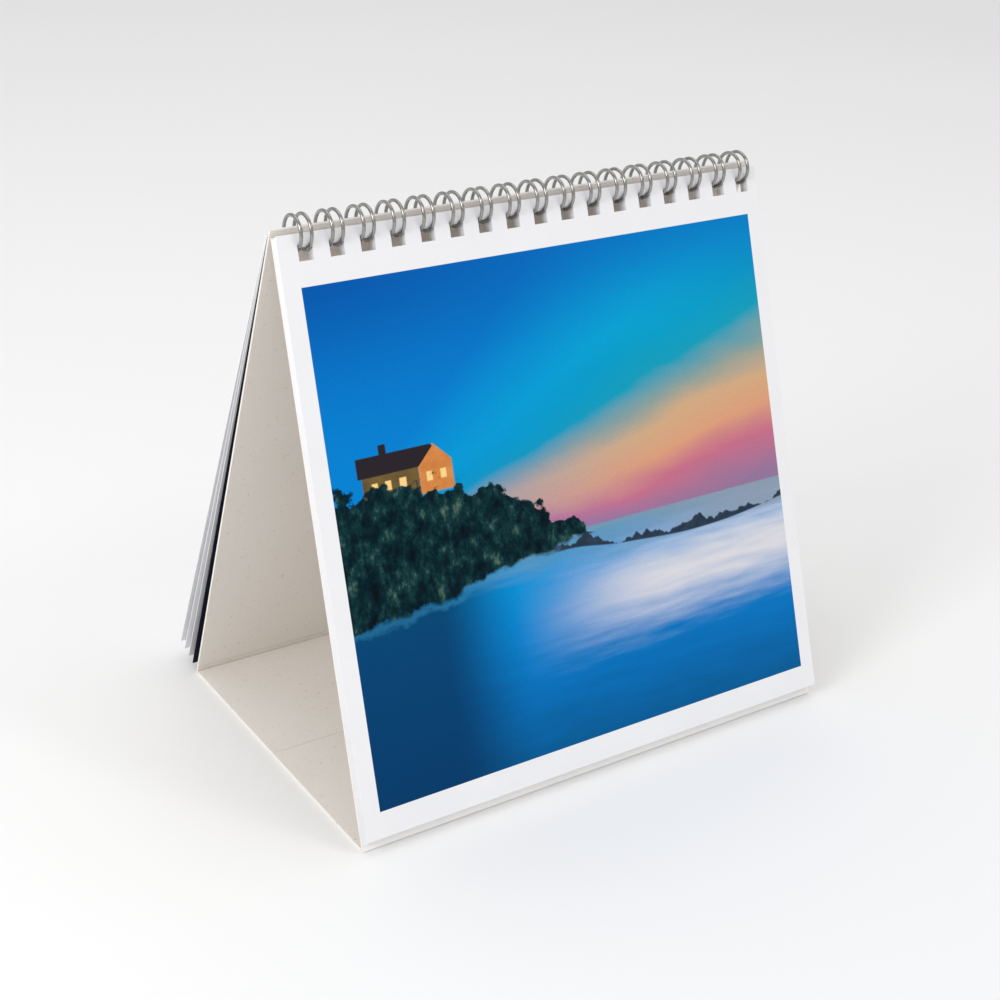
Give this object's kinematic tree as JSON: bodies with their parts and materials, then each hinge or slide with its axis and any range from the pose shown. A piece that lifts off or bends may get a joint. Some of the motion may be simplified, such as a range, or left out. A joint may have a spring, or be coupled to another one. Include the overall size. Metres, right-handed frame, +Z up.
{
  "type": "flip desk calendar",
  "caption": "Flip desk calendar: a folding board easel with square punched sheets bound along its ridge by a twin-loop wire.",
  "frame": {"origin": "centre of the base on the table, midway between the two bottom folds", "axes": "+X along the ridge, left to right seen from the front; -Y is the way the front faces; +Z up"},
  "size_m": [0.148, 0.106, 0.1473],
  "materials": {
    "board": "uncoated white-lined board",
    "paper": "smooth heavy paper, printed on its face",
    "cover": "smooth heavy paper, dark print",
    "wire": "bright silver wire"
  },
  "bodies": {
    "front": {"front_panel": "board", "front_fold_strip": "board", "binding_wire": "wire"},
    "rear": {"rear_panel": "board", "rear_fold_strip": "board"},
    "base_front_half": {"base_front": "board"},
    "base_rear_half": {"base_rear": "board"},
    "month_sheet_12_leaf": {"month_sheet_12": "paper"},
    "month_sheet_11_leaf": {"month_sheet_11": "paper"},
    "month_sheet_10_leaf": {"month_sheet_10": "paper"},
    "month_sheet_09_leaf": {"month_sheet_09": "paper"},
    "month_sheet_08_leaf": {"month_sheet_08": "paper"},
    "month_sheet_07_leaf": {"month_sheet_07": "paper"},
    "month_sheet_06_leaf": {"month_sheet_06": "paper"},
    "month_sheet_05_leaf": {"month_sheet_05": "paper"},
    "month_sheet_04_leaf": {"month_sheet_04": "paper"},
    "cover_sheet_leaf": {"cover_sheet": "cover"},
    "month_sheet_01_leaf": {"month_sheet_01": "paper"},
    "month_sheet_02_leaf": {"month_sheet_02": "paper"},
    "month_sheet_03_leaf": {"month_sheet_03": "paper"}
  },
  "joints": [
    {"name": "fold_flat", "type": "hinge", "parent": "front", "child": "rear", "pos_m": [0, 0.00289, 0.1387], "axis": [-1, 0, 0], "range_deg": [0, 35]},
    {"name": "base_front_fold", "type": "hinge", "parent": "front", "child": "base_front_half", "pos_m": [0, -0.04602, 0.0007], "axis": [1, 0, 0], "range_deg": [0, 70]},
    {"name": "base_rear_fold", "type": "hinge", "parent": "rear", "child": "base_rear_half", "pos_m": [0, 0.04606, 0.0007], "axis": [-1, 0, 0], "range_deg": [0, 72.2], "deforming": ["base_rear"]},
    {"name": "month_sheet_12_turn", "type": "hinge", "parent": "front", "child": "month_sheet_12_leaf", "pos_m": [0, -0.00122, 0.14935], "axis": [-1, 0, 0], "range_deg": [0, 320.07], "deforming": ["month_sheet_12"]},
    {"name": "month_sheet_11_turn", "type": "hinge", "parent": "front", "child": "month_sheet_11_leaf", "pos_m": [0, -0.00116, 0.14934], "axis": [-1, 0, 0], "range_deg": [0, 320.03], "deforming": ["month_sheet_11"]},
    {"name": "month_sheet_10_turn", "type": "hinge", "parent": "front", "child": "month_sheet_10_leaf", "pos_m": [0, -0.0015, 0.14936], "axis": [-1, 0, 0], "range_deg": [0, 319.99], "deforming": ["month_sheet_10"]},
    {"name": "month_sheet_09_turn", "type": "hinge", "parent": "front", "child": "month_sheet_09_leaf", "pos_m": [0, -0.00016, 0.14929], "axis": [-1, 0, 0], "range_deg": [0, 319.95], "deforming": ["month_sheet_09"]},
    {"name": "month_sheet_08_turn", "type": "hinge", "parent": "front", "child": "month_sheet_08_leaf", "pos_m": [0, 0.00065, 0.14925], "axis": [-1, 0, 0], "range_deg": [0, 319.9], "deforming": ["month_sheet_08"]},
    {"name": "month_sheet_07_turn", "type": "hinge", "parent": "front", "child": "month_sheet_07_leaf", "pos_m": [0, 0.00131, 0.14921], "axis": [-1, 0, 0], "range_deg": [0, 319.86], "deforming": ["month_sheet_07"]},
    {"name": "month_sheet_06_turn", "type": "hinge", "parent": "front", "child": "month_sheet_06_leaf", "pos_m": [0, 0.0019, 0.14919], "axis": [-1, 0, 0], "range_deg": [0, 319.82], "deforming": ["month_sheet_06"]},
    {"name": "month_sheet_05_turn", "type": "hinge", "parent": "front", "child": "month_sheet_05_leaf", "pos_m": [0, 0.00244, 0.14917], "axis": [-1, 0, 0], "range_deg": [0, 319.77], "deforming": ["month_sheet_05"]},
    {"name": "month_sheet_04_turn", "type": "hinge", "parent": "front", "child": "month_sheet_04_leaf", "pos_m": [0, 0.00298, 0.14915], "axis": [-1, 0, 0], "range_deg": [0, 319.73], "deforming": ["month_sheet_04"]},
    {"name": "cover_sheet_turn", "type": "hinge", "parent": "rear", "child": "cover_sheet_leaf", "pos_m": [0, 0.00594, 0.14961], "axis": [-1, 0, 0], "range_deg": [-322.59, 0], "deforming": ["cover_sheet"]},
    {"name": "month_sheet_01_turn", "type": "hinge", "parent": "rear", "child": "month_sheet_01_leaf", "pos_m": [0, 0.00506, 0.14945], "axis": [-1, 0, 0], "range_deg": [-321.63, 0], "deforming": ["month_sheet_01"]},
    {"name": "month_sheet_02_turn", "type": "hinge", "parent": "rear", "child": "month_sheet_02_leaf", "pos_m": [0, 0.00435, 0.14928], "axis": [-1, 0, 0], "range_deg": [-320.66, 0], "deforming": ["month_sheet_02"]},
    {"name": "month_sheet_03_turn", "type": "hinge", "parent": "rear", "child": "month_sheet_03_leaf", "pos_m": [0, 0.00375, 0.14912], "axis": [-1, 0, 0], "range_deg": [-319.69, 0], "deforming": ["month_sheet_03"]}
  ],
  "couplings": [
    {"joint": "base_front_fold", "follows": "fold_flat", "ratio": 2},
    {"joint": "base_rear_fold", "follows": "fold_flat", "ratio": 2.0629}
  ]
}
